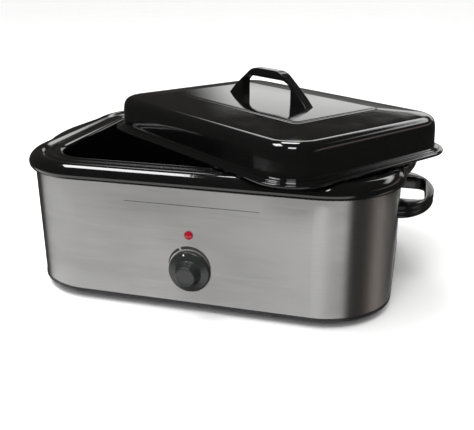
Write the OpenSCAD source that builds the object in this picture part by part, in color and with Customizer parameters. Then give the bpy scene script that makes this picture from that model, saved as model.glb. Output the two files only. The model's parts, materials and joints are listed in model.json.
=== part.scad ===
// Countertop hot stone heater: a steel-wrapped oblong body with an enamelled
// lift-out stone pan, a domed enamelled lid lying askew on the pan's rim, a
// front thermostat knob with an indicator lamp, and a finger handle at each end.
// Millimetres. X runs along the body, Y from front to back, Z up.
// The origin is the centre of the body's footprint on the table.

/* [Body] */
// Length of the rim's lower edge
rim_l = 500; // [440:1:560]
// Width of the rim's lower edge
rim_w = 375; // [330:1:420]
// Corner radius of the rim's lower edge
rim_r = 96; // [85:1:110]
// Height of the rim's lower edge above the table
rim_z = 169.2; // [150:0.1:190]
// How far the steel wall stands inside the rim's lower edge
wall_in = 3.75; // [3:0.05:6]
// Thickness of the steel wall
wall_t = 1; // [0.6:0.1:1.5]
// Height of the wall's lower edge above the table
wall_z = 15; // [13:0.5:20]

/* [Base and feet] */
// Height of a foot
foot_h = 10; // [6:0.5:16]
// Radius of a foot where it stands
foot_r = 13; // [9:0.5:18]
// Distance of a foot's axis from the body's centre, along X
foot_x = 190; // [150:1:200]
// Distance of a foot's axis from the body's centre, along Y
foot_y = 118; // [90:1:125]
// Thickness of the base plate
base_t = 1.2; // [0.8:0.1:2]

/* [Pan and well] */
// Thickness of the enamelled pan
pan_t = 1.6; // [1.2:0.1:2]
// Height of the pan's inner floor above the table
pan_z = 34; // [30:1:50]
// Thickness of the heating well
well_t = 1; // [0.8:0.1:1.2]
// Half width of a lifting lip on the pan's rim
lip_half = 72; // [50:1:85]
// How far a lifting lip stands out from the rim's lower edge
lip_out = 15; // [12:0.5:20]

/* [Lid] */
// Length of the lid's flange
lid_l = 430; // [424:1:434]
// Width of the lid's flange
lid_w = 305; // [299:1:309]
// Corner radius of the lid's flange
lid_r = 56; // [50:1:62]
// Turn of the lid about the vertical, as it lies on the rim
lid_turn = -36.8; // [-40:0.1:-30]
// Place of the lid's centre along X
lid_x = 55.5; // [50:0.5:60]
// Place of the lid's centre along Y
lid_y = 12.5; // [8:0.5:16]
// Height of the lid's lower edge above the table
lid_z = 189; // [188.9:0.1:190]

/* [Knob and lamp] */
// Height of the knob's axis above the table
knob_z = 59; // [55:0.5:75]
// Radius of the knob's skirt
skirt_r = 27.5; // [24:0.5:28]
// Radius of the knob's grip at its front face
grip_r = 13.4; // [12.6:0.1:15]
// Distance from the wall to the knob's front face
knob_out = 19.5; // [18:0.5:24]
// Height of the indicator lamp's axis above the table
lamp_z = 108; // [100:1:120]
// Radius of the indicator lens where it shows
lens_r = 5.6; // [5:0.1:7]

/* [Handles] */
// Half width of a side handle at the wall
grab_half = 80; // [74:1:82]
// How far a side handle stands out from the wall
grab_out = 45; // [38:1:50]
// Height of the underside of a side handle above the table
grab_z = 116; // [105:1:125]
// Thickness of a side handle
grab_t = 18.5; // [14:0.5:22]
// Half length of the lid handle at its feet
bow_half = 83; // [75:1:90]
// Height of the lid handle above the lid's top
bow_h = 42; // [36:1:48]
// Thickness of the lid handle across its length
bow_t = 14; // [10:0.5:18]

/* [Hidden] */
$fn = 64;

black_enamel = [0.03, 0.03, 0.035];
plastic = [0.06, 0.06, 0.06];
steel = [0.62, 0.61, 0.59];
zinc = [0.7, 0.7, 0.72];
brass = [0.72, 0.58, 0.3];
copper = [0.72, 0.45, 0.3];

wall_half_l = rim_l / 2 - wall_in;      // outside of the end wall
wall_half_w = rim_w / 2 - wall_in;      // outside of the front wall
wall_front = -wall_half_w;              // the front wall's outer face
shelf_z = rim_z + 7.8;                  // top of the wall's inward shelf
crest_z = rim_z + 19.4;                 // highest line of the pan's rim
seat_z = rim_z + 14.1;                  // top of the well's flange, under the pan's rim
well_in = 35;                           // the well's outer face, inside the rim's edge
well_z = pan_z - 9;                     // underside of the well's floor
element_in = well_in - 3.6;             // the element's centre line, inside the rim's edge
element_r = 3.2;
element_low = 48;
element_high = 74;
u_bend_x = 70;                          // where the element's turns end in a U-bend
element_gap = 34;                       // from the U-bend to the element's tails
tail_bend = 6;
tail_x = u_bend_x + element_gap - tail_bend;
shaft_r = 3;                            // thermostat shaft
running_gap = 0.05;                     // between the shaft and its bush
case_low = 15;                          // thermostat case, below and above the shaft's axis
dot_r = 1.1;                            // white dot set in the knob's skirt
dot_depth = 4;                          // its recess's floor, out from the wall
handle_screw_y = 62;                    // side handle screws, each way from the middle
handle_screw_z = grab_z + grab_t / 2;
bow_screw_x = 63;                       // lid handle screws, each way from the middle
lid_h = 55.3;                           // lid's top above its lower edge
inlet_x = -150;                         // cord inlet on the rear wall
inlet_z = 36;
cord_r = 3.6;                           // bore that takes the supply cord
bush_out = 8;                           // how far its bush stands out from the rear wall
bush_grip = 6;                          // length of the bore that fits the cord
dial_off = 14;                          // the knob's pointer, left of the top, when off

// ---- shapes used by more than one piece ----

function unit(v) = v / norm(v);
function along(p, i) = unit(p[min(i + 1, len(p) - 1)] - p[max(i - 1, 0)]);
function beside(p, t) = [for (i = [0 : len(p) - 1]) p[i] + t * [-along(p, i)[1], along(p, i)[0]]];
function backward(p) = [for (i = [len(p) - 1 : -1 : 0]) p[i]];
function rounded(l, w, r, z, steps) = [
    for (q = [0 : 3], i = [0 : steps])
        let (a = 90 * q + 90 * i / steps,
             cx = (l / 2 - r) * (q == 0 || q == 3 ? 1 : -1),
             cy = (w / 2 - r) * (q < 2 ? 1 : -1))
        [cx + r * cos(a), cy + r * sin(a), z]];

// A strip of sheet t thick, on the left of the path
module strip(path, t) {
    polygon(concat(path, backward(beside(path, t))));
}

// Sweeps a profile round the body: x is outward from the rim's lower edge, y is height
module round_body() {
    for (q = [0 : 3]) {
        side = q % 2 == 0 ? rim_w : rim_l;
        off = q % 2 == 0 ? rim_l / 2 : rim_w / 2;
        rotate(90 * q)
            translate([off, side / 2 - rim_r, 0])
                rotate([90, 0, 0])
                    linear_extrude(side - 2 * rim_r) children();
        translate([(rim_l / 2 - rim_r) * (q == 0 || q == 3 ? 1 : -1),
                   (rim_w / 2 - rim_r) * (q < 2 ? 1 : -1), 0])
            rotate(90 * q)
                rotate_extrude(angle = 90) translate([rim_r, 0]) children();
    }
}

// A flat oblong plate with round corners, inset from the rim's lower edge
module body_plate(inset, t) {
    l = rim_l - 2 * inset;
    w = rim_w - 2 * inset;
    r = rim_r - inset;
    linear_extrude(t) {
        square([l - 2 * r, w], center = true);
        square([l, w - 2 * r], center = true);
        for (x = [-1, 1], y = [-1, 1])
            translate([x * (l / 2 - r), y * (w / 2 - r)]) circle(r);
    }
}

// A closed solid through rounded rectangles given as [inset, height]
module dome(l, w, r, rings, steps = 12) {
    n = 4 * (steps + 1);
    pts = [for (g = rings) each rounded(l - 2 * g[0], w - 2 * g[0],
                                        max(r - g[0], 12 - g[0] / 20), g[1], steps)];
    sides = [for (k = [0 : len(rings) - 2], i = [0 : n - 1])
        let (a = k * n + i, b = k * n + (i + 1) % n) each [[a, a + n, b + n], [a, b + n, b]]];
    low = [for (i = [0 : n - 1]) i];
    high = [for (i = [n - 1 : -1 : 0]) (len(rings) - 1) * n + i];
    polyhedron(pts, concat(sides, [low, high]), convexity = 6);
}

// Lies along -Y: local Z points out of the front wall
module on_front(x, z) {
    translate([x, wall_front, z]) rotate([90, 0, 0]) children();
}

// Pan-head screw: shank along +Z from its head's seat, head below
module screw(shank_r, len, head_r, head_h) {
    cylinder(r = shank_r, h = len);
    difference() {
        translate([0, 0, -head_h]) cylinder(r = head_r, h = head_h);
        for (a = [0, 90])
            rotate(a) translate([-head_r * 0.6, -0.5, -head_h - 0.1])
                cube([head_r * 1.2, 1, head_h * 0.5 + 0.1]);
    }
}

// A smooth run of points through a short list of corners
function bend(p, i, t) =
    let (a = p[max(i - 1, 0)], b = p[i], c = p[i + 1], d = p[min(i + 2, len(p) - 1)])
    b + t / 2 * (c - a) + t * t * (a - 2.5 * b + 2 * c - d / 2)
      + t * t * t * (1.5 * (b - c) + (d - a) / 2);
function smooth(p, n) = concat([for (i = [0 : len(p) - 2], k = [0 : n - 1]) bend(p, i, k / n)],
                               [p[len(p) - 1]]);

// Eight-sided wire along a smooth run through the corners
module wire(corners, r, n = 4) {
    path = smooth(corners, n);
    last = len(path) - 1;
    tilt = [0.31, 0.22, 0.92];
    pts = [for (i = [0 : last])
        let (d = along(path, i), u = unit(cross(d, tilt)), v = cross(d, u))
        for (k = [0 : 7]) path[i] + r * (cos(45 * k) * u + sin(45 * k) * v)];
    sides = [for (i = [0 : last - 1], k = [0 : 7])
        [8 * i + k, 8 * i + (k + 1) % 8, 8 * i + 8 + (k + 1) % 8, 8 * i + 8 + k]];
    ends = [[for (k = [7 : -1 : 0]) k], [for (k = [0 : 7]) 8 * last + k]];
    polyhedron(pts, concat([for (f = sides) each [[f[0], f[1], f[2]], [f[0], f[2], f[3]]]], ends));
}

module at_lid() {
    translate([lid_x, lid_y, lid_z]) rotate(lid_turn) children();
}

module at_feet() {
    for (x = [-1, 1], y = [-1, 1]) translate([x * foot_x, y * foot_y, 0]) children();
}

module at_dot() {
    on_front(0, knob_z) rotate(dial_off) translate([0, skirt_r - 3.4, dot_depth]) children();
}

module at_ends() {
    for (a = [0, 180]) rotate(a) children();
}

// ---- body, base and feet ----

module body_wall() {
    path = [[-wall_in, wall_z], [-wall_in, shelf_z - 3.5], [-wall_in - 0.5, shelf_z - 1.8],
            [-wall_in - 1.8, shelf_z - 0.5], [-wall_in - 3.5, shelf_z], [-18, shelf_z]];
    color(steel) difference() {
        round_body() strip(path, wall_t);
        on_front(0, knob_z) translate([0, 0, -5]) cylinder(r = 5.1, h = 10);
        on_front(0, lamp_z) translate([0, 0, -5]) cylinder(r = 4.6, h = 10);
        translate([inlet_x, wall_half_w - 5, inlet_z]) rotate([-90, 0, 0]) cylinder(r = 8, h = 10);
        for (s = [-1, 1], y = [-1, 1])
            translate([s * wall_half_l, y * handle_screw_y, handle_screw_z])
                rotate([0, 90, 0]) cylinder(r = 2.3, h = 10, center = true);
    }
}

module base_plate() {
    tuck = wall_in + wall_t + 0.3;
    color(plastic) difference() {
        union() {
            translate([0, 0, foot_h]) body_plate(20, base_t);
            round_body()
                strip([[-22, foot_h], [-wall_in - 1, foot_h], [-wall_in + 0.6, foot_h + 1.2],
                       [-wall_in + 0.8, foot_h + 3], [-wall_in, wall_z - 0.1]], base_t);
            round_body() translate([-tuck - 2, foot_h + base_t - 0.2]) square([2, 12]);
            round_body() translate([-tuck - 2, wall_z - 1.4]) square([4, 1.2]);
        }
        at_feet() cylinder(r = 2.3, h = 20);
    }
}

module foot() {
    color(plastic) difference() {
        rotate_extrude() polygon([[4.5, 0], [foot_r - 1.5, 0], [foot_r, 1.5],
            [foot_r - 2, foot_h], [2.3, foot_h], [2.3, 5], [4.5, 5]]);
    }
}
module foot_front_left() translate([-foot_x, -foot_y, 0]) foot();
module foot_front_right() translate([foot_x, -foot_y, 0]) foot();
module foot_rear_left() translate([-foot_x, foot_y, 0]) foot();
module foot_rear_right() translate([foot_x, foot_y, 0]) foot();

module foot_screws() {
    color(zinc) at_feet() translate([0, 0, 5]) screw(2, 12, 4, 2.5);
}

// Tapped plates inside the base plate, one over each foot
module foot_nut_plates() {
    color(zinc) for (x = [-1, 1], y = [-1, 1])
        translate([x * foot_x, y * foot_y, 0]) difference() {
            translate([-9, -9, foot_h + base_t]) cube([18, 18, 2]);
            cylinder(r = 2, h = 30);
        }
}

// ---- heating ----

module heating_well() {
    path = [[-8, shelf_z + well_t], [-14, shelf_z + well_t], [-15.5, shelf_z + 2],
            [-17, seat_z - 0.6], [-18.5, seat_z], [-32, seat_z], [-34.5, seat_z - 1],
            [-well_in - 1, seat_z - 4], [-well_in - 1.4, 60], [-well_in - 2.5, 40],
            [-well_in - 5, 32], [-well_in - 10, 27.5], [-well_in - 17, well_z + well_t],
            [-well_in - 24, well_z + well_t]];
    color([0.55, 0.55, 0.56]) union() {
        round_body() strip(path, well_t);
        translate([0, 0, well_z]) body_plate(well_in + 20, well_t);
    }
}

module insulation_blanket() {
    color([0.86, 0.83, 0.7]) difference() {
        round_body() translate([-27, 30]) square([14, 130]);
        translate([-62, -rim_w, 20]) cube([190, rim_w, 112]);
        translate([inlet_x - 45, 0, 20]) cube([90, rim_w, 60]);
    }
}

// Sheathed element, two turns round the well, joined by a U-bend at the front
module heating_element() {
    y = -(rim_w / 2 - element_in);
    turn_r = (element_high - element_low) / 2;
    color([0.35, 0.33, 0.32]) union() {
        difference() {
            round_body() for (z = [element_low, element_high])
                translate([-element_in, z]) circle(r = element_r, $fn = 32);
            translate([u_bend_x, y - 6, element_low - 8]) cube([element_gap, 12, 60]);
        }
        translate([u_bend_x, y, element_low + turn_r]) rotate([90, 0, 0]) rotate(-90)
            rotate_extrude(angle = 180) translate([turn_r, 0]) circle(r = element_r, $fn = 32);
        for (z = [element_low, element_high]) {
            translate([u_bend_x + element_gap, y - tail_bend, z]) rotate(90)
                rotate_extrude(angle = 90) translate([tail_bend, 0]) circle(r = element_r, $fn = 32);
            translate([tail_x, y - tail_bend, z]) rotate([90, 0, 0])
                cylinder(r = element_r, h = 4, $fn = 32);
        }
    }
}

// Saddle straps welded to the well over both turns of the element
module element_clips() {
    y = rim_w / 2 - element_in;
    outer = element_r + 1.2;
    color(zinc) for (s = [-1, 1], x = [-130, -100, 0, 140])
        if (s > 0 || abs(x) > 90) translate([x, s * y, 0]) rotate(s > 0 ? 0 : 180) difference() {
            union() {
                for (z = [element_low, element_high])
                    translate([-5, 0, z]) rotate([0, 90, 0]) cylinder(r = outer, h = 10);
                translate([-5, element_r + 0.2, element_low - 8])
                    cube([10, 1, element_high - element_low + 16]);
            }
            for (z = [element_low, element_high])
                translate([-6, 0, z]) rotate([0, 90, 0]) cylinder(r = element_r + 0.1, h = 12);
            translate([-6, -10, element_low - 10]) cube([12, 10, element_high - element_low + 20]);
        }
}

module element_terminals() {
    y = -(rim_w / 2 - element_in) - tail_bend - 4;
    for (z = [element_low, element_high]) {
        color([0.9, 0.88, 0.82]) translate([tail_x, y, z]) rotate([90, 0, 0]) cylinder(r = 4.6, h = 5);
        color(brass) translate([tail_x - 3, y - 11, z - 0.4]) cube([6, 6, 0.8]);
    }
}

// ---- thermostat ----

module thermostat_body() {
    color([0.75, 0.7, 0.62]) difference() {
        on_front(0, knob_z) translate([-19, -case_low, -24]) cube([38, 2 * case_low, 16]);
        on_front(0, knob_z) translate([0, 0, -20]) cylinder(r = shaft_r + 0.6, h = 20);
    }
}

module thermostat_bracket() {
    color(zinc) difference() {
        on_front(0, knob_z) translate([-26, -19, -8]) cube([52, 38, 1.5]);
        on_front(0, knob_z) translate([0, 0, -10]) cylinder(r = 5.1, h = 10);
        for (x = [-1, 1]) on_front(x * 22.5, knob_z) translate([0, 0, -10]) cylinder(r = 1.8, h = 10);
    }
}

module bracket_screws() {
    color(zinc) for (x = [-1, 1]) on_front(x * 22.5, knob_z) translate([0, 0, -8]) {
        cylinder(r = 1.6, h = 1.5);
        translate([0, 0, 1.5]) cylinder(r = 3, h = 2);
        translate([0, 0, -5]) cylinder(r = 3, h = 5);
    }
}

module thermostat_bush() {
    color(brass) difference() {
        union() {
            on_front(0, knob_z) translate([0, 0, -6.5]) cylinder(r = 8, h = 5.5);
            on_front(0, knob_z) translate([0, 0, -8]) cylinder(r = 5, h = 13);
        }
        on_front(0, knob_z) translate([0, 0, -12]) cylinder(r = shaft_r + running_gap, h = 30);
    }
}

module thermostat_nut() {
    color(zinc) difference() {
        on_front(0, knob_z) cylinder(r = 7.5, h = 3, $fn = 6);
        on_front(0, knob_z) translate([0, 0, -1]) cylinder(r = 5.02, h = 6);
    }
}

// Push-on connection blades on the back of the thermostat
module thermostat_blades() {
    color(brass) for (x = [-12, 0, 12])
        on_front(x, knob_z) translate([-3.1, -22, -20]) cube([6.2, 7, 0.8]);
}

// Sensing bulb of the thermostat, lying against the well's floor
module sensor_bulb() {
    color(copper) translate([-60, -60, well_z - 3.2]) rotate([0, 90, 0])
        cylinder(r = 3, h = 80);
}

// Leaves the thermostat's underside and runs below the well to the bulb
module capillary_tube() {
    y = wall_front + 17;
    end = well_z - 3.2;
    color(copper) wire([[-15, y, knob_z - case_low], [-15, y, knob_z - 24], [-15, y + 1, 20],
        [-70, -80, 18], [-70, -60, end], [-60.2, -60, end]], 0.9);
}

module thermal_fuse() {
    y = -(rim_w / 2 - well_in) - 4.2;
    color([0.9, 0.88, 0.84]) translate([20, y, 100]) rotate([0, 90, 0]) cylinder(r = 3.6, h = 22);
    color(zinc) translate([14, y, 100]) rotate([0, 90, 0]) cylinder(r = 0.7, h = 34);
}

// ---- indicator ----

module indicator_lens() {
    color([0.6, 0.02, 0.06, 0.8]) on_front(0, lamp_z) difference() {
        union() {
            rotate_extrude() polygon([[0, 0], [lens_r, 0], [lens_r, 1.2], [lens_r - 1, 2.6],
                [lens_r - 2.6, 3.6], [0, 4]]);
            translate([0, 0, -9]) cylinder(r = 4.5, h = 9.1);
        }
        translate([0, 0, -10]) cylinder(r = 3.3, h = 11.2);
    }
}

module indicator_lamp() {
    color([0.9, 0.6, 0.4]) on_front(0, lamp_z) {
        translate([0, 0, -13]) cylinder(r = 2.6, h = 11.2);
        translate([0, 0, -1.8]) sphere(r = 2.6, $fn = 32);
    }
}

module lamp_retainer() {
    color(zinc) on_front(0, lamp_z) translate([0, 0, -2]) difference() {
        cylinder(r = 8, h = 1);
        translate([0, 0, -1]) cylinder(r = 4.5, h = 3);
    }
}

// ---- supply connection ----

module terminal_block() {
    color([0.88, 0.87, 0.83]) translate([-105, wall_half_w - 24, foot_h + base_t]) difference() {
        cube([36, 16, 13]);
        for (i = [0 : 2]) translate([6 + 12 * i, -1, 8]) rotate([-90, 0, 0]) cylinder(r = 2, h = 18);
        for (i = [0, 1]) translate([12 + 12 * i, 8, -1]) cylinder(r = 1.6, h = 20);
    }
}

module block_screws() {
    color(zinc) for (i = [0, 1])
        translate([-93 + 12 * i, wall_half_w - 16, foot_h + base_t + 13])
            rotate([180, 0, 0]) screw(1.5, 13, 2.8, 1.8);
}

module wiring() {
    y = wall_half_w - 24;
    z = foot_h + base_t + 8;
    front = wall_front + 23.6;
    color([0.85, 0.85, 0.8]) {
        wire([[-99, y, z], [-99, y - 14, z], [-40, -100, 15], [-12, front - 2, 16],
              [-12, front - 3.2, knob_z - 22]], 1.3);
        wire([[-87, y, z], [-87, y - 18, z], [80, 20, 15], [112, -130, 15],
              [112, -158, 30], [107.4, -168, element_low]], 1.3);
        wire([[104, -172.5, element_high + 1.8], [60, -168, 92], [48.1, -156.7, 100]], 1.1);
        wire([[0, front - 3.2, knob_z - 22], [0, front - 3.2, knob_z - 28], [30, front - 3, knob_z - 24],
              [34, -168, 80], [13.9, -156.7, 100]], 1.1);
    }
}

module earth_screw() {
    color(brass) translate([-60, wall_half_w - 18, foot_h + base_t]) {
        cylinder(r = 3.8, h = 1.6, $fn = 6);
        translate([0, 0, 1.6]) cylinder(r = 2, h = 6);
        translate([0, 0, 3]) cylinder(r = 3.8, h = 2.6, $fn = 6);
    }
}

// Snap-in bush: its head grips the cord, and its bore is wider through the wall
module cord_bush() {
    color(plastic) translate([inlet_x, wall_half_w, inlet_z]) rotate([-90, 0, 0]) difference() {
        union() {
            cylinder(r1 = 10, r2 = 8.5, h = bush_out);
            translate([0, 0, -wall_t - 0.1]) cylinder(r = 7.95, h = wall_t + 0.2);
            translate([0, 0, -wall_t - 6]) cylinder(r = 9.5, h = 6);
        }
        translate([0, 0, -20]) cylinder(r = cord_r, h = 40);
        translate([0, 0, -20]) cylinder(r = cord_r + 1, h = 20 + bush_out - bush_grip);
    }
}

// ---- side handles ----

// Bow of a side handle as seen from above, x out from the wall: a slightly square oval
function bow_point(a) = [grab_out * pow(cos(a), 1.05), grab_half * pow(abs(sin(a)), 1.05)];
module grab_outline() {
    arc = [for (i = [0 : 20]) bow_point(90 - 4.5 * i)];
    polygon(concat(arc, [for (p = backward(arc)) [p[0], -p[1]]]));
}

module grab_opening() {
    r = 11;
    depth = grab_out - 12;
    half = grab_half - 32;
    union() {
        translate([-1, -half]) square([depth - r + 1, 2 * half]);
        translate([-1, r - half]) square([depth + 1, 2 * half - 2 * r]);
        for (s = [-1, 1]) translate([depth - r, s * (half - r)]) circle(r);
    }
}

module grab() {
    color(plastic) difference() {
        translate([wall_half_l, 0, grab_z]) linear_extrude(grab_t) difference() {
            grab_outline();
            grab_opening();
        }
        for (y = [-1, 1])
            translate([wall_half_l - 1, y * handle_screw_y, handle_screw_z])
                rotate([0, 90, 0]) cylinder(r = 2.1, h = 13);
    }
}
module handle_right() grab();
module handle_left() rotate(180) grab();

module handle_plate() {
    color(zinc) difference() {
        translate([wall_half_l - wall_t - 2, -handle_screw_y - 10, handle_screw_z - 9])
            cube([2, 2 * handle_screw_y + 20, 18]);
        for (y = [-1, 1])
            translate([wall_half_l, y * handle_screw_y, handle_screw_z])
                rotate([0, 90, 0]) cylinder(r = 2.3, h = 20, center = true);
    }
}
module handle_plate_right() handle_plate();
module handle_plate_left() rotate(180) handle_plate();

module handle_screws() {
    color(zinc) at_ends() for (y = [-1, 1])
        translate([wall_half_l - wall_t - 2, y * handle_screw_y, handle_screw_z])
            rotate([0, 90, 0]) screw(2, 14, 4, 2.6);
}

// ---- knob ----

module thermostat_shaft() {
    color(zinc) difference() {
        on_front(0, knob_z) translate([0, 0, -19]) cylinder(r = shaft_r, h = 19 + knob_out - 5);
        on_front(0, knob_z) translate([-5, shaft_r - 1.2, 8]) cube([10, 5, 12]);
    }
}

module knob() {
    color(plastic) difference() {
        on_front(0, knob_z) rotate_extrude() polygon([[5, 1], [skirt_r - 0.8, 1],
            [skirt_r, 1.8], [skirt_r - 0.3, 3], [skirt_r - 1.6, 4.2], [grip_r + 4.6, 6.4],
            [grip_r + 3.2, 7.6], [grip_r + 0.2, knob_out - 1.4], [grip_r - 0.6, knob_out - 0.3],
            [grip_r - 1.6, knob_out], [0, knob_out], [0, knob_out - 3], [12, knob_out - 3],
            [14, 4], [9.2, 4], [5, 4]]);
        on_front(0, knob_z) translate([0, 0, 0.5]) cylinder(r = 8.4, h = 5);
        at_dot() cylinder(r = dot_r + 0.05, h = 4);
    }
    color(plastic) on_front(0, knob_z) difference() {
        translate([0, 0, 7]) cylinder(r = 6, h = knob_out - 9.5);
        translate([0, 0, 6]) cylinder(r = shaft_r + 0.6, h = knob_out - 10.8);
    }
}

// Sheet clip between the shaft and the knob's hub
module knob_clip() {
    color(zinc) on_front(0, knob_z) difference() {
        translate([0, 0, 8]) cylinder(r = shaft_r + 0.6, h = knob_out - 13.5);
        translate([0, 0, 7]) cylinder(r = shaft_r, h = knob_out);
        translate([-0.6, -6, 7]) cube([1.2, 6, knob_out]);
    }
}

module knob_pointer() {
    color("white") at_dot() cylinder(r = dot_r, h = 1);
}

// ---- pan ----

// The profile is the upper face, from the rim's lower edge over the rim and down to the floor
module stone_pan() {
    z = rim_z;
    path = [[0, z], [2.6, z + 1.2], [4, z + 4], [4, z + 8], [2.4, z + 12], [-1, z + 16],
            [-5, z + 18.6], [-10, crest_z], [-14, z + 18.2], [-17.5, z + 16.2], [-20.4, z + 16.8],
            [-23.6, z + 17.8], [-27, z + 17], [-30, z + 16], [-32.6, z + 17.4], [-36, z + 19],
            [-39.4, z + 17.6], [-41.4, z + 14.5], [-42.2, z + 10], [-46, 64], [-47.4, 48],
            [-50.6, 39.4], [-56, pan_z + 1.4], [-64, pan_z], [-70, pan_z]];
    color(black_enamel) union() {
        round_body() strip(path, pan_t);
        translate([0, 0, pan_z - pan_t]) body_plate(66, pan_t);
        for (s = [0, 180]) rotate(s) pan_lip();
    }
}

// Lifting lip: a shallow segment that stands out from the rim's end
module pan_lip() {
    out = lip_out + 1;
    r = (pow(lip_half, 2) + pow(out, 2)) / (2 * out);
    roll = 2.4;
    translate([rim_l / 2 - 1 + out - r, 0, rim_z + 6]) {
        linear_extrude(1.8) difference() {
            intersection() {
                circle(r - roll);
                translate([r - out + 3.6, -rim_w]) square([out, 2 * rim_w]);
            }
        }
        intersection() {
            rotate_extrude() translate([r - roll, 0.9]) circle(r = roll, $fn = 24);
            translate([r - out + 3.6, -rim_w, -5]) cube([out, 2 * rim_w, 10]);
        }
    }
}

// ---- lid ----

outer_rings = [[1.8, 0], [0.5, 0.7], [0, 2.2], [0.5, 3.8], [2.4, 4.6], [5.4, 4.8],
    [6.4, 6.6], [9.4, 7.4], [11.4, 8.8], [12.2, 20], [13, 33], [14.4, 39.5], [17.4, 44.4],
    [22.4, 47.6], [50, 51], [76, 53.6], [79, 54.4], [81, lid_h]];
inner_rings = [[3.4, -1], [3.4, 1.4], [4.4, 3.2], [7, 3.2], [8, 5], [11, 5.8], [13, 7.2],
    [13.8, 20], [14.6, 32.4], [15.9, 38.4], [18.6, 42.8], [23, 46], [50, 49.4], [76, 52],
    [81, 53.7]];

module lid_shell() {
    color(black_enamel) at_lid() difference() {
        dome(lid_l, lid_w, lid_r, outer_rings);
        dome(lid_l, lid_w, lid_r, inner_rings);
        for (x = [-1, 1]) translate([x * bow_screw_x, 0, 40]) cylinder(r = 2.3, h = 30);
    }
}

module lid_handle() {
    half = [[bow_half, 0], [bow_half - 10, 9.5], [bow_half - 26.5, 22.5],
            [bow_half - 45, bow_h - 6], [bow_half - 51, bow_h - 2.6],
            [bow_half - 59, bow_h - 0.5], [bow_half - 67, bow_h]];
    hole = [[bow_half - 32, -1], [bow_half - 32, bow_h - 21.5], [bow_half - 38, bow_h - 15.5],
            [bow_half - 47, bow_h - 12]];
    color(plastic) at_lid() translate([0, 0, lid_h]) difference() {
        translate([0, bow_t / 2, 0]) rotate([90, 0, 0]) linear_extrude(bow_t) difference() {
            polygon(concat(half, [for (p = backward(half)) [-p[0], p[1]]]));
            polygon(concat(hole, [for (p = backward(hole)) [-p[0], p[1]]]));
        }
        for (x = [-1, 1]) translate([x * bow_screw_x, 0, -1]) cylinder(r = 2.1, h = 13);
    }
}

module lid_handle_screws() {
    color(zinc) at_lid() for (x = [-1, 1])
        translate([x * bow_screw_x, 0, lid_h - 2.8 - 1.2]) screw(2, 14, 4, 2.4);
}

module lid_handle_washers() {
    color(zinc) at_lid() for (x = [-1, 1])
        translate([x * bow_screw_x, 0, lid_h - 2.8 - 1.2]) difference() {
            cylinder(r = 7, h = 1);
            translate([0, 0, -1]) cylinder(r = 2.3, h = 3);
        }
}

body_wall();
base_plate();
foot_front_left();
foot_front_right();
foot_rear_left();
foot_rear_right();
foot_screws();
foot_nut_plates();
heating_well();
insulation_blanket();
heating_element();
element_clips();
element_terminals();
thermostat_body();
thermostat_bracket();
bracket_screws();
thermostat_bush();
thermostat_nut();
thermostat_blades();
sensor_bulb();
capillary_tube();
thermal_fuse();
indicator_lens();
indicator_lamp();
lamp_retainer();
terminal_block();
block_screws();
wiring();
earth_screw();
cord_bush();
handle_left();
handle_right();
handle_screws();
handle_plate_left();
handle_plate_right();
thermostat_shaft();
knob();
knob_pointer();
knob_clip();
stone_pan();
lid_shell();
lid_handle();
lid_handle_screws();
lid_handle_washers();
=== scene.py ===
"""Hot stone heater: brushed steel body, black enamelled pan and lid, moulded
handles and knob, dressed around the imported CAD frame. Metres throughout."""
import json
import math

import bmesh
import bpy
from mathutils import Matrix, Vector


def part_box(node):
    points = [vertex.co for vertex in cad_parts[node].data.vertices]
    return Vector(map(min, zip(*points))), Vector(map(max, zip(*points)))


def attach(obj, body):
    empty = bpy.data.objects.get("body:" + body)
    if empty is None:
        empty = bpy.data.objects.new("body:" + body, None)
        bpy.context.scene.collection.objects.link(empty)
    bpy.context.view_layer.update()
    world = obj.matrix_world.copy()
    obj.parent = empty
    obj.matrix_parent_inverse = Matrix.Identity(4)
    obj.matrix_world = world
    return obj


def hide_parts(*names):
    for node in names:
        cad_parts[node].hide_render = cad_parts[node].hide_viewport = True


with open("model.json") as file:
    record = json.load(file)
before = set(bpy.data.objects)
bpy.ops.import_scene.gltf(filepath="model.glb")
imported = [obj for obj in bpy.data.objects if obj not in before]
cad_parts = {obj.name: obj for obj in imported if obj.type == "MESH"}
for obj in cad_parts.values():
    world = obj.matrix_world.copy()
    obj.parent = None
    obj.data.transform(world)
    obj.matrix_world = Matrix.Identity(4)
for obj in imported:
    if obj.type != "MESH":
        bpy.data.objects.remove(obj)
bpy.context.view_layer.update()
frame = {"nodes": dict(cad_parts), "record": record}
nodes = frame["nodes"]
MM = 0.001

# ---------------------------------------------------------------- the frame's own sizes

wall_lo, wall_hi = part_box("body_wall")
pan_lo, pan_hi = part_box("stone_pan")
lid_lo, lid_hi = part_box("lid_shell")
knob_lo, knob_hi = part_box("knob")
lens_lo, lens_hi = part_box("indicator_lens")
grip_lo, grip_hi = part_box("handle_right")
bow_lo, bow_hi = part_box("lid_handle")

RIM_OVER = 3.75 * MM                       # rim's lower edge beyond the wall
CREST_RISE = 19.4 * MM                     # rim's crest above its lower edge; the pan's top
RIM_L = wall_hi.x - wall_lo.x + 2 * RIM_OVER
RIM_W = wall_hi.y - wall_lo.y + 2 * RIM_OVER
RIM_R = 96 * MM
RIM_Z = pan_hi.z - CREST_RISE              # rim's lower edge
WALL_FRONT = wall_lo.y
LID_TURN = math.radians(-36.8)
LID_L, LID_W, LID_R = 430 * MM, 305 * MM, 56 * MM
LID_AT = Vector(((bow_lo.x + bow_hi.x) / 2, (bow_lo.y + bow_hi.y) / 2, lid_lo.z))
LID_TOP = lid_hi.z - lid_lo.z
KNOB_Z = (knob_lo.z + knob_hi.z) / 2
LAMP_Z = (lens_lo.z + lens_hi.z) / 2

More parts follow.
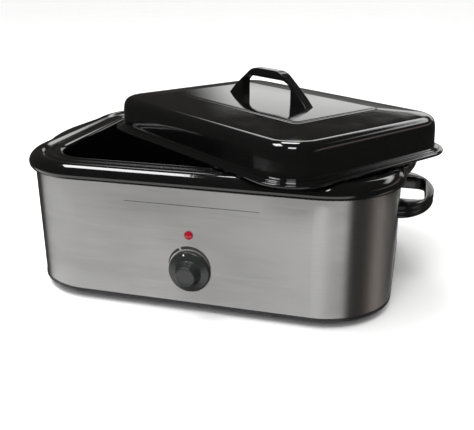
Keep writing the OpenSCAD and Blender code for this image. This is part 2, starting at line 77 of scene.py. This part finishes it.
VIEW_TURN, VIEW_DIP, VIEW_ROLL = 15.49, 20.66, -0.19          # degrees
VIEW_DISTANCE, VIEW_SIDE, VIEW_RISE = 1.01024, 0.01085, 0.0637
SENSOR_WIDTH, FOCAL_LENGTH = 36, 49.5                         # millimetres
SUN_STRENGTH, SUN_SPREAD = 3.6, 100                           # spread in degrees


# ---------------------------------------------------------------- camera

def place_camera():
    """Looks at the front from the right and above."""
    yaw, pitch, roll = (math.radians(a) for a in (VIEW_TURN, VIEW_DIP, VIEW_ROLL))
    back = Vector((math.sin(yaw) * math.cos(pitch), -math.cos(yaw) * math.cos(pitch), math.sin(pitch)))
    level = Vector((math.cos(yaw), math.sin(yaw), 0))
    upright = back.cross(level)
    right = level * math.cos(roll) + upright * math.sin(roll)
    up = upright * math.cos(roll) - level * math.sin(roll)
    data = bpy.data.cameras.new("camera")
    data.sensor_width = SENSOR_WIDTH
    data.lens = FOCAL_LENGTH
    camera = bpy.data.objects.new("camera", data)
    bpy.context.scene.collection.objects.link(camera)
    turn = Matrix((right, up, back)).transposed().to_4x4()
    camera.matrix_world = Matrix.Translation(back * VIEW_DISTANCE + right * VIEW_SIDE + up * VIEW_RISE) @ turn
    bpy.context.scene.camera = camera


place_camera()


# ---------------------------------------------------------------- materials

def new_material(name):
    """A material with its shader, and a way to add nodes to it."""
    material = bpy.data.materials.new(name)
    material.use_nodes = True
    tree = material.node_tree
    return material, tree.nodes["Principled BSDF"], tree


def add(tree, kind, values=None, **settings):
    """Adds a node, sets its attributes, then its input values by name or number."""
    node = tree.nodes.new(kind)
    for key, value in settings.items():
        setattr(node, key, value)
    for key, value in (values or {}).items():
        node.inputs[key].default_value = value
    return node


def noise(tree, scale, stretch=(1, 1, 1), detail=2.0, rough=0.5):
    """Noise on the object's own coordinates, squeezed along each axis by stretch."""
    place = add(tree, "ShaderNodeTexCoord")
    mapping = add(tree, "ShaderNodeMapping", {"Scale": stretch})
    texture = add(tree, "ShaderNodeTexNoise", {"Scale": scale, "Detail": detail, "Roughness": rough})
    tree.links.new(place.outputs["Object"], mapping.inputs["Vector"])
    tree.links.new(mapping.outputs["Vector"], texture.inputs["Vector"])
    return texture.outputs["Fac"]


def span(tree, value, low, high, start=0.3, end=0.7):
    """Maps noise from start..end to low..high."""
    node = add(tree, "ShaderNodeMapRange",
               {"From Min": start, "From Max": end, "To Min": low, "To Max": high})
    tree.links.new(value, node.inputs["Value"])
    return node.outputs["Result"]


def tint(tree, value, dark, light, start=0.3, end=0.7):
    """A colour between dark and light, by noise."""
    ramp = add(tree, "ShaderNodeValToRGB")
    ramp.color_ramp.elements[0].position = start
    ramp.color_ramp.elements[0].color = (*dark, 1)
    ramp.color_ramp.elements[1].position = end
    ramp.color_ramp.elements[1].color = (*light, 1)
    tree.links.new(value, ramp.inputs["Fac"])
    return ramp.outputs["Color"]


def bump(tree, shader, value, strength, distance, under=None):
    """Adds a bump to the shader; several are chained."""
    node = add(tree, "ShaderNodeBump", {"Strength": strength, "Distance": distance})
    tree.links.new(value, node.inputs["Height"])
    if under:
        tree.links.new(under, node.inputs["Normal"])
    tree.links.new(node.outputs["Normal"], shader.inputs["Normal"])
    return node.outputs["Normal"]


def enamel(name, colour=0.0022, rough=0.06):
    """Black vitreous enamel: deep gloss with a slight orange peel."""
    material, shader, tree = new_material(name)
    tree.links.new(tint(tree, noise(tree, 900), (colour,) * 3, (colour * 1.8,) * 3, 0.45, 0.75),
                   shader.inputs["Base Color"])
    tree.links.new(span(tree, noise(tree, 30), rough * 0.8, rough * 1.5), shader.inputs["Roughness"])
    shader.inputs["IOR"].default_value = 1.62
    peel = bump(tree, shader, noise(tree, 160, detail=1), 0.05, 0.0006)
    bump(tree, shader, noise(tree, 14, detail=1), 0.05, 0.004, under=peel)
    return material


def brushed_steel(name, colour=(0.6, 0.598, 0.59), rough=0.36):
    """Stainless sheet with fine horizontal brush lines."""
    material, shader, tree = new_material(name)
    lines = noise(tree, 1, (14, 14, 2400), detail=3, rough=0.6)
    clouds = noise(tree, 7, (1, 1, 2), detail=3)
    shader.inputs["Metallic"].default_value = 1.0
    shader.inputs["Anisotropic"].default_value = 0.95
    shader.inputs["Anisotropic Rotation"].default_value = 0.25
    light = tuple(min(1, c * 1.05) for c in colour)
    dark = tuple(c * 0.93 for c in colour)
    tree.links.new(tint(tree, lines, dark, light), shader.inputs["Base Color"])
    mix = add(tree, "ShaderNodeMath", operation="MULTIPLY")
    tree.links.new(span(tree, lines, rough * 0.85, rough * 1.2), mix.inputs[0])
    tree.links.new(span(tree, clouds, 0.9, 1.12), mix.inputs[1])
    tree.links.new(mix.outputs[0], shader.inputs["Roughness"])
    bump(tree, shader, lines, 0.05, 0.0001)
    return material


def moulded(name, colour, rough, grain=0.05, scale=900):
    """Moulded plastic or phenolic: faint mottle, fine grain."""
    material, shader, tree = new_material(name)
    dark = tuple(c * 0.85 for c in colour)
    tree.links.new(tint(tree, noise(tree, 60, detail=4), dark, colour), shader.inputs["Base Color"])
    tree.links.new(span(tree, noise(tree, 45), rough * 0.85, rough * 1.25), shader.inputs["Roughness"])
    bump(tree, shader, noise(tree, scale, detail=2), grain, 0.0003)
    return material


def plated(name, colour, rough=0.35, metallic=1.0):
    """Plated or bare metal of small parts: clouded, with fine scratches."""
    material, shader, tree = new_material(name)
    shader.inputs["Metallic"].default_value = metallic
    dark = tuple(c * 0.75 for c in colour)
    tree.links.new(tint(tree, noise(tree, 80, detail=5), dark, colour), shader.inputs["Base Color"])
    tree.links.new(span(tree, noise(tree, 220), rough * 0.8, rough * 1.3), shader.inputs["Roughness"])
    bump(tree, shader, noise(tree, 400, (1, 1, 6)), 0.08, 0.0002)
    return material


def fibrous(name, colour, scale=300):
    """Glass fibre felt or braided sleeve."""
    material, shader, tree = new_material(name)
    dark = tuple(c * 0.6 for c in colour)
    weave = noise(tree, scale, (1, 1, 3), detail=8, rough=0.7)
    tree.links.new(tint(tree, weave, dark, colour), shader.inputs["Base Color"])
    shader.inputs["Roughness"].default_value = 0.95
    bump(tree, shader, weave, 0.8, 0.002)
    return material


def clear(name, colour, rough, through, ior=1.5):
    """Tinted clear plastic or glass."""
    material, shader, tree = new_material(name)
    dark = tuple(c * 0.7 for c in colour)
    tree.links.new(tint(tree, noise(tree, 500), dark, colour), shader.inputs["Base Color"])
    tree.links.new(span(tree, noise(tree, 200), rough * 0.7, rough * 1.3), shader.inputs["Roughness"])
    shader.inputs["Transmission Weight"].default_value = through
    shader.inputs["IOR"].default_value = ior
    return material


MATERIALS = {
    "stainless": brushed_steel("stainless"),
    "black_paint": moulded("black_paint", (0.012, 0.012, 0.016), 0.35, 0.10),
    "black_enamel": enamel("black_enamel"),
    "gloss_black": moulded("gloss_black", (0.004, 0.004, 0.0045), 0.14, 0.04, 500),
    "knob_black": moulded("knob_black", (0.016, 0.017, 0.017), 0.27, 0.10),
    "moulded_black": moulded("moulded_black", (0.015, 0.015, 0.016), 0.5, 0.2),
    "white_inlay": moulded("white_inlay", (0.75, 0.75, 0.72), 0.5),
    "red_lens": clear("red_lens", (0.45, 0.006, 0.03), 0.12, 0.35),
    "lamp_glass": clear("lamp_glass", (0.95, 0.75, 0.6), 0.05, 0.9),
    "aluminised_steel": plated("aluminised_steel", (0.5, 0.5, 0.52), 0.45),
    "plated_steel": plated("plated_steel", (0.6, 0.6, 0.58), 0.35),
    "element_sheath": plated("element_sheath", (0.2, 0.18, 0.17), 0.55),
    "brass": plated("brass", (0.72, 0.52, 0.22), 0.3),
    "copper": plated("copper", (0.72, 0.36, 0.22), 0.3),
    "ceramic": moulded("ceramic", (0.8, 0.78, 0.72), 0.6, 0.2),
    "thermostat_case": moulded("thermostat_case", (0.55, 0.48, 0.38), 0.5, 0.2),
    "glass_fibre": fibrous("glass_fibre", (0.78, 0.72, 0.52)),
    "wire_sleeve": fibrous("wire_sleeve", (0.75, 0.73, 0.66), 900),
}


# ---------------------------------------------------------------- mesh helpers

def soften(points, cuts):
    """A smooth run through the points (Catmull-Rom), cuts spans to each stretch."""
    ends = [points[0], *points, points[-1]]
    run = []
    for a, b, c, d in zip(ends, ends[1:], ends[2:], ends[3:]):
        for k in range(cuts):
            t = k / cuts
            run.append(tuple(
                q + t / 2 * (r - p) + t * t * (p - 2.5 * q + 2 * r - s / 2)
                + t ** 3 * (1.5 * (q - r) + (s - p) / 2)
                for p, q, r, s in zip(a, b, c, d)))
    return [*run, tuple(points[-1])]


def beside(path, gap):
    """The path moved sideways by gap, to its left."""
    moved = []
    for i, (x, y) in enumerate(path):
        (ax, ay), (bx, by) = path[max(i - 1, 0)], path[min(i + 1, len(path) - 1)]
        size = math.hypot(bx - ax, by - ay)
        moved.append((x - gap * (by - ay) / size, y + gap * (bx - ax) / size))
    return moved


def oblong(length, width, radius, steps=20, sides=(12, 16)):
    """Points and outward directions round a rounded rectangle, anticlockwise from +X."""
    ring = []
    for q in range(4):
        cx = (length / 2 - radius) * (1 if q in (0, 3) else -1)
        cy = (width / 2 - radius) * (1 if q < 2 else -1)
        for i in range(steps + 1):
            a = math.radians(90 * (q + i / steps))
            ring.append((cx + radius * math.cos(a), cy + radius * math.sin(a), math.cos(a), math.sin(a)))
        nx, ny = round(math.cos(math.radians(90 * (q + 1)))), round(math.sin(math.radians(90 * (q + 1))))
        x, y = ring[-1][:2]
        run = (length if q % 2 == 0 else width) - 2 * radius
        cuts = sides[q % 2]
        for k in range(1, cuts):
            ring.append((x - ny * run * k / cuts, y + nx * run * k / cuts, nx, ny))
    return ring


def mesh_object(name, verts, faces, material, body, smooth_angle=40):
    """Makes a welded, smooth-shaded mesh that rides on a body."""
    mesh = bpy.data.meshes.new(name)
    mesh.from_pydata(verts, [], faces)
    work = bmesh.new()
    work.from_mesh(mesh)
    bmesh.ops.remove_doubles(work, verts=work.verts, dist=1e-6)
    bmesh.ops.recalc_face_normals(work, faces=work.faces)
    limit = math.radians(smooth_angle)
    for face in work.faces:
        face.smooth = True
    for edge in work.edges:
        edge.smooth = len(edge.link_faces) == 2 and edge.calc_face_angle(0) < limit
    work.to_mesh(mesh)
    work.free()
    piece = bpy.data.objects.new(name, mesh)
    bpy.context.scene.collection.objects.link(piece)
    mesh.materials.append(MATERIALS[material])
    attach(piece, body)
    return piece


def loft(rings, closed_ends=True):
    """Vertices and faces through rings of equal length, each closed on itself."""
    count = len(rings[0])
    verts = [p for ring in rings for p in ring]
    faces = [(k * count + i, k * count + (i + 1) % count,
              (k + 1) * count + (i + 1) % count, (k + 1) * count + i)
             for k in range(len(rings) - 1) for i in range(count)]
    if closed_ends:
        faces.append(tuple(range(count))[::-1])
        faces.append(tuple((len(rings) - 1) * count + i for i in range(count)))
    return verts, faces


def lathe(profile, steps=96):
    """Turns (radius, height) points about local Z; the ends may lie on the axis."""
    rings = [[(r * math.cos(2 * math.pi * i / steps), r * math.sin(2 * math.pi * i / steps), h)
              for i in range(steps)] for r, h in profile]
    return loft(rings)


def on_front(points, x, z):
    """Moves points from local Z-out to the front wall at x and z."""
    return [(x + p[0], WALL_FRONT - p[2], z + p[1]) for p in points]


# ---------------------------------------------------------------- pan

def build_pan():
    """Enamelled pan: lifting lips, wide ribbed rim, tapered walls and a flat floor."""
    top = RIM_Z / MM
    floor = (pan_lo.z / MM) + 1.6
    rim = [(0, top), (2.2, top + 0.9), (3.9, top + 4), (4, top + 8), (2.6, top + 12),
           (-0.8, top + 16), (-5, top + 18.6), (-10, top + 19.4), (-14, top + 18.3),
           (-17.5, top + 16.2), (-20.4, top + 16.9), (-23.6, top + 17.8), (-27, top + 17),
           (-30, top + 16.4), (-32.6, top + 17.1), (-36, top + 18.1), (-39.4, top + 17),
           (-41.4, top + 14.2), (-42.2, top + 9)]
    wall = [(-44, 120), (-46, 64), (-47.4, 48), (-50.6, 39.4), (-56, floor + 1.4), (-64, floor)]
    outside = soften(rim, 4) + soften(wall, 6)[1:] + [(-78, floor), (-90, floor)]
    inside = beside(outside, 1.6)
    inside[-2:] = [(-78, floor - 1.6), (-90, floor - 1.6)]
    profile = inside[::-1] + outside
    outline = oblong(RIM_L, RIM_W, RIM_R, sides=(40, 30))
    lip_half, lip_rise = 72 * MM, (pan_hi.x - RIM_L / 2) - 4.1 * MM
    rings = []
    for out, z in profile:
        share = min(1, max(0, (out + 9) / 9)) ** 1.3
        ring = []
        for x, y, nx, ny in outline:
            reach = out * MM
            if abs(nx) > 0.999 and abs(y) < lip_half:
                reach += lip_rise * share * (1 - (y / lip_half) ** 2) ** 1.15
            ring.append((x + nx * reach, y + ny * reach, z * MM))
        rings.append(ring)
    verts, faces = loft(rings)
    pan = mesh_object("enamelled_pan", verts, faces, "black_enamel", "pan", 50)
    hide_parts("stone_pan")


build_pan()


# ---------------------------------------------------------------- lid

def lid_place(points):
    """Turns lid-local millimetres into the frame."""
    turn = Matrix.Rotation(LID_TURN, 4, "Z")
    return [tuple(LID_AT + (turn @ Vector(p)) * MM) for p in points]


def build_lid():
    """Domed lid: rolled edge, ribbed flange, steep wall, shallow top and a flat plateau."""
    top = LID_TOP / MM
    outer = soften([(1.8, 0), (0.5, 0.7), (0, 2.2), (0.5, 3.8), (2.4, 4.6), (5.0, 4.7), (6.2, 6.2),
                    (8.6, 6.9), (10.6, 7.5), (11.6, 9.2), (12.2, 20), (12.8, 32), (14.2, 39.2),
                    (17.2, 44.2), (22.4, 47.4), (29, 48.7), (50, 51), (72, 53.3), (77, 53.9),
                    (79.5, 54.9), (83, top)], 4)
    inner = [(3.2, 0.5), (3.6, 1.8), (4.6, 3.0), (7, 3.2), (8.2, 4.9), (11, 5.7), (13, 7.4),
             (13.8, 20), (14.6, 32), (15.9, 38.2), (18.6, 42.6), (23, 45.7), (50, 49.3), (72, 51.6),
             (79.5, 52.9), (83, 53.3)]
    profile = outer[::-1] + inner
    rings = []
    for inset, z in profile:
        radius = max(LID_R / MM - inset, 12 - inset / 20)
        outline = oblong(LID_L / MM - 2 * inset, LID_W / MM - 2 * inset, radius, 18, (14, 10))
        rings.append([(x, y, z) for x, y, _, _ in outline])
    verts, faces = loft(rings)
    lid = mesh_object("enamelled_lid", lid_place(verts), faces, "black_enamel", "lid", 50)
    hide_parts("lid_shell")


build_lid()


# ---------------------------------------------------------------- handles

def round_corners(points, reach, cuts=6):
    """The run through the points, each corner rounded from reach before it to reach after."""
    run = [Vector(points[0])]
    for before, corner, after in zip(points, points[1:], points[2:]):
        corner = Vector(corner)
        start = corner + (Vector(before) - corner).normalized() * reach
        end = corner + (Vector(after) - corner).normalized() * reach
        run += [start.lerp(corner, k / cuts).lerp(corner.lerp(end, k / cuts), k / cuts)
                for k in range(cuts + 1)]
    return [*run, Vector(points[-1])]


def bar_section(width, depth, edge, flutes=0.0, steps=5):
    """A bar's outline with round edges; flutes is how deep two grooves cut its outer face."""
    edge = min(edge, 0.45 * width, 0.45 * depth)
    ring = []
    for q in range(4):
        cx = (width / 2 - edge) * (1 if q in (0, 3) else -1)
        cy = (depth / 2 - edge) * (1 if q < 2 else -1)
        for k in range(steps + 1):
            a = math.radians(90 * (q + k / steps))
            ring.append((cx + edge * math.cos(a), cy + edge * math.sin(a)))
    for k in range(1, 24):
        level = (depth / 2 - edge) * (k / 12 - 1)
        sunk = sum(math.exp(-((level / depth - side) / 0.075) ** 2) for side in (-0.17, 0.17))
        ring.append((width / 2 - flutes * sunk, level))
    return ring


def bow_rings(outer, inner, depth, place, edge, flutes=0.0):
    """Sections of a bow between matched outer and inner points."""
    rings = []
    for a, b in zip(outer, inner):
        a, b = Vector(a), Vector(b)
        across = (a - b).normalized()
        ring = []
        for x, z in bar_section((a - b).length, depth, edge, flutes):
            spot = (a + b) / 2 + across * x
            ring.append(place(spot.x, spot.y, z))
        rings.append(ring)
    return rings


def oval_reach(angle, out, half, power):
    """Distance from the middle of the wall to a square oval, in the given direction."""
    along, across = abs(math.cos(angle)) / out, abs(math.sin(angle)) / half
    return (along ** power + across ** power) ** (-1 / power)


def build_side_handles():
    """Moulded bow at each end: square oval outside, nearly square gap inside, fluted edge."""
    out = (grip_hi.x - wall_hi.x) / MM
    half = (grip_hi.y - grip_lo.y) / 2 / MM
    mid_z = (grip_lo.z + grip_hi.z) / 2
    depth = (grip_hi.z - grip_lo.z) / MM
    outer, inner = [], []
    for k in range(73):
        a = math.radians(-90 + 2.5 * k)
        for run, size in ((outer, (out, half, 1.9)), (inner, (out - 12, half - 32, 7))):
            reach = oval_reach(a, *size)
            run.append((reach * math.cos(a), reach * math.sin(a)))
    for name, side in (("handle_right", 1), ("handle_left", -1)):
        def place(x, y, z, side=side):
            return (side * (wall_hi.x + x * MM), side * y * MM, mid_z + z * MM)
        verts, faces = loft(bow_rings(outer, inner, depth, place, 3.2, flutes=1.1))
        bow = mesh_object(name + "_bow", verts, faces, "gloss_black", "base", 60)
        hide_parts(name)


def build_lid_handle():
    """Moulded bow on the lid's plateau: straight raked arms, crisp edges."""
    high = (bow_hi.z - bow_lo.z) / MM
    out = [(83, 0), (73, 9.5), (56.5, 22.5), (47.5, 29), (38, 36), (32, 39.5), (24, high - 0.5),
           (16, high - 0.1)]
    gap = [(51, 0), (51, 10), (51, 20.5), (45, 26.5), (36.5, 29.9), (32, 30), (24, 30), (16, 30)]
    outer = round_corners(out + [(-x, y) for x, y in out[::-1]], 2.4)
    inner = round_corners(gap + [(-x, y) for x, y in gap[::-1]], 2.4)

    def place(x, y, z):
        return (x, -z, LID_TOP / MM + y)
    verts, faces = loft(bow_rings(outer, inner, 14, place, 1.5))
    bow = mesh_object("lid_bow", lid_place(verts), faces, "gloss_black", "lid", 60)
    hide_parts("lid_handle")


build_side_handles()
build_lid_handle()


# ---------------------------------------------------------------- knob and lamp

def build_knob():
    """Skirted knob with a round grip, a dished cap and a hollow back."""
    skirt = (knob_hi.x - knob_lo.x) / 2 / MM
    out = (WALL_FRONT - knob_lo.y) / MM
    front = [(0, out - 0.5), (8, out - 0.4), (11.2, out), (12.5, out - 0.4), (13.3, out - 1.5),
             (13.8, 15), (14.9, 11.4), (16.2, 8.4), (17.2, 7), (19, 6.3), (22.5, 5.2),
             (skirt - 2, 4.3), (skirt - 0.6, 3.3), (skirt, 2), (skirt - 0.5, 1.1)]
    back = [(skirt - 1.6, 1), (9, 1), (8.6, 1.4), (8.4, 5.2), (0, 5.2)]
    verts, faces = lathe([(r * MM, h * MM) for r, h in soften(front, 5) + back])
    knob = mesh_object("knob_moulding", on_front(verts, 0, KNOB_Z), faces, "knob_black", "knob",
                       45)
    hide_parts("knob")


def build_lens():
    """Faceted jewel over the indicator lamp."""
    radius = (lens_hi.x - lens_lo.x) / 2
    rows = [(0.0, 0.0), (1.0, 0.0), (1.0, 0.3), (0.86, 0.62), (0.52, 0.9), (0.2, 1.0), (0.0, 1.0)]
    rings = []
    for k, (share, rise) in enumerate(rows):
        rings.append([(radius * share * math.cos(math.pi / 8 * (i + k / 2)),
                       radius * share * math.sin(math.pi / 8 * (i + k / 2)), 3.6 * MM * rise)
                      for i in range(16)])
    verts, faces = loft(rings)
    lens = mesh_object("indicator_jewel", on_front(verts, 0, LAMP_Z), faces, "red_lens", "base",
                       5)
    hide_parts("indicator_lens")


build_knob()
build_lens()


# ---------------------------------------------------------------- print on the front

def flat_print(name, points_list):
    """Thin ink shapes on the front wall, from quads of (x, z) in millimetres."""
    verts, faces = [], []
    skin = 0.12
    for quad in points_list:
        base = len(verts)
        verts += [(x * MM, WALL_FRONT - s * MM, z * MM) for s in (0.0, skin) for x, z in quad]
        n = len(quad)
        faces += [tuple(base + i for i in range(n)), tuple(base + n + i for i in range(n))[::-1]]
        faces += [(base + i, base + (i + 1) % n, base + n + (i + 1) % n, base + n + i) for i in range(n)]
    return mesh_object(name, verts, faces, "moulded_black", "base")


def build_dial():
    """Printed crescent over the knob, broken at the off mark and tapering to its ends."""
    quads = []
    middle, outside, inside, lower = KNOB_Z / MM + 6.1, 28.1, 27.8, 3.65
    for start, end in ((-85, -29.5), (-23.5, 94)):
        cuts = round((end - start) / 3)
        edge = []
        for k in range(cuts + 1):
            a = math.radians(start + (end - start) * k / cuts)
            near = math.sqrt(inside ** 2 - (lower * math.sin(a)) ** 2) - lower * math.cos(a)
            edge.append([(r * math.sin(a), middle + r * math.cos(a)) for r in (near, outside)])
        quads += [[a[0], b[0], b[1], a[1]] for a, b in zip(edge, edge[1:])]
    flat_print("dial_ring", quads)


def build_rule():
    """Thin rule across the upper front."""
    flat_print("front_rule", [[(-84, 146.3), (90, 146.3), (90, 146.9), (-84, 146.9)]])


build_dial()
build_rule()


# ---------------------------------------------------------------- finish of the CAD nodes

def dress_nodes():
    """Gives every CAD node its material."""
    slots = {part["node"]: part["material_slot"] for part in frame["record"]["subparts"]}
    for name, node in nodes.items():
        node.data.materials.clear()
        node.data.materials.append(MATERIALS[slots[name]])


dress_nodes()


# ---------------------------------------------------------------- room and light

def build_floor():
    """Wide pale floor, hidden from reflections."""
    bpy.ops.mesh.primitive_plane_add(size=60, location=(0, 0, 0))
    floor = bpy.context.object
    floor.name = "floor"
    material, shader, tree = new_material("floor")
    tree.links.new(tint(tree, noise(tree, 3), (0.80, 0.80, 0.80), (0.82, 0.82, 0.82)),
                   shader.inputs["Base Color"])
    shader.inputs["Roughness"].default_value = 0.9
    shader.inputs["Specular IOR Level"].default_value = 0.1
    floor.data.materials.append(material)
    floor.visible_glossy = False


class Sky:
    """Builds the world's brightness from soft-edged regions of direction."""

    def __init__(self, base):
        world = bpy.data.worlds.new("studio")
        bpy.context.scene.world = world
        world.use_nodes = True
        self.tree = world.node_tree
        self.output = self.tree.nodes["Background"].inputs["Color"]
        split = add(self.tree, "ShaderNodeSeparateXYZ")
        place = add(self.tree, "ShaderNodeTexCoord")
        self.tree.links.new(place.outputs["Generated"], split.inputs[0])
        self.axes = split.outputs
        self.total = add(self.tree, "ShaderNodeRGB").outputs[0]
        self.total.default_value = (*base, 1)

    def along(self, direction):
        """How far each direction points along the given one."""
        node = add(self.tree, "ShaderNodeCombineXYZ")
        for k in range(3):
            self.tree.links.new(self.axes[k], node.inputs[k])
        dot = add(self.tree, "ShaderNodeVectorMath", {1: direction}, operation="DOT_PRODUCT")
        self.tree.links.new(node.outputs[0], dot.inputs[0])
        return dot.outputs["Value"]

    def region(self, colour, *edges):
        """Adds colour where every edge (direction, from, to) is past its soft step."""
        share = None
        for direction, start, end in edges:
            step = add(self.tree, "ShaderNodeMapRange", {"From Min": start, "From Max": end},
                       interpolation_type="SMOOTHSTEP")
            self.tree.links.new(self.along(direction), step.inputs["Value"])
            if share is None:
                share = step.outputs["Result"]
            else:
                both = add(self.tree, "ShaderNodeMath", operation="MULTIPLY")
                self.tree.links.new(share, both.inputs[0])
                self.tree.links.new(step.outputs["Result"], both.inputs[1])
                share = both.outputs[0]
        scaled = add(self.tree, "ShaderNodeVectorMath", {0: colour}, operation="SCALE")
        self.tree.links.new(share, scaled.inputs["Scale"])
        joined = add(self.tree, "ShaderNodeVectorMath", operation="ADD")
        self.tree.links.new(self.total, joined.inputs[0])
        self.tree.links.new(scaled.outputs[0], joined.inputs[1])
        self.total = joined.outputs[0]

    def finish(self):
        """Connects the sum to the background."""
        self.tree.links.new(self.total, self.output)


def between(low, high, soft=6):
    """Edges that keep the directions from azimuth low to high, in degrees from +X towards +Y."""
    give = math.sin(math.radians(soft))
    edges = []
    for angle in (low + 90, high - 90):
        a = math.radians(angle)
        edges.append(((math.cos(a), math.sin(a), 0), -give, give))
    return edges


def rising(low, high):
    """Edge that keeps directions above a height, soft from low to high."""
    return ((0, 0, 1), low, high)


def falling(low, high):
    """Edge that keeps directions below a height, soft from low to high."""
    return ((0, 0, -1), -high, -low)


def build_sky():
    """Dark studio: light walls behind and at the right, pale cards below, a strip high behind."""
    sky = Sky((0.05, 0.048, 0.045))
    # The lid's flat top mirrors this
    sky.region((1.35, 1.35, 1.34), *between(58, 108, 3), falling(0.29, 0.33), rising(0.0, 0.17))
    # Crease lines on the lid's right wall
    sky.region((0.8, 0.64, 0.6), *between(-8, 44, 14), falling(0.28, 0.34), rising(0.16, 0.24))
    # Steel front and left corner
    sky.region((1.3, 1.3, 1.29), *between(-196, -42, 6), falling(-0.3, -0.2), rising(-0.85, -0.65))
    # Pinkish edge of the right corner
    sky.region((0.55, 0.47, 0.45), *between(8, 34, 5), falling(-0.45, -0.35), rising(-0.85, -0.65))
    # Thin bright lines along the lid's shoulder
    sky.region((3.5, 3.5, 3.5), *between(30, 122, 5), rising(0.46, 0.54), falling(0.58, 0.66))
    sky.finish()


def lamp(name, at, aim, size, glow, colour=(1, 1, 1)):
    """A rectangular light that faces aim; glow is its brightness as seen in a mirror."""
    data = bpy.data.lights.new(name, "AREA")
    data.shape = "RECTANGLE"
    data.size, data.size_y = size
    data.energy = glow * math.pi * size[0] * size[1]
    data.color = colour
    light = bpy.data.objects.new(name, data)
    bpy.context.scene.collection.objects.link(light)
    light.location = at
    light.rotation_euler = (Vector(aim) - Vector(at)).to_track_quat("-Z", "Y").to_euler()
    return light


def soft_sun():
    """Even light on the floor; it doesn't show in reflections."""
    data = bpy.data.lights.new("soft_sun", "SUN")
    data.energy = SUN_STRENGTH
    data.angle = math.radians(SUN_SPREAD)
    light = bpy.data.objects.new("soft_sun", data)
    bpy.context.scene.collection.objects.link(light)
    light.rotation_euler = (math.radians(25), math.radians(-10), 0)
    light.visible_glossy = False


build_floor()
build_sky()
soft_sun()
lamp("ceiling_left", (-1.08, -0.2, 2.1), (-1.08, -0.2, 0), (0.85, 0.9), 14)
lamp("ceiling_middle", (-0.25, 0.9, 2.3), (-0.25, 0.9, 0), (0.8, 0.5), 13)
lamp("ceiling_front", (0.15, -1.3, 2.0), (0.15, -0.1, 0.24), (0.7, 0.6), 12)

bpy.context.scene.view_settings.view_transform = "Standard"
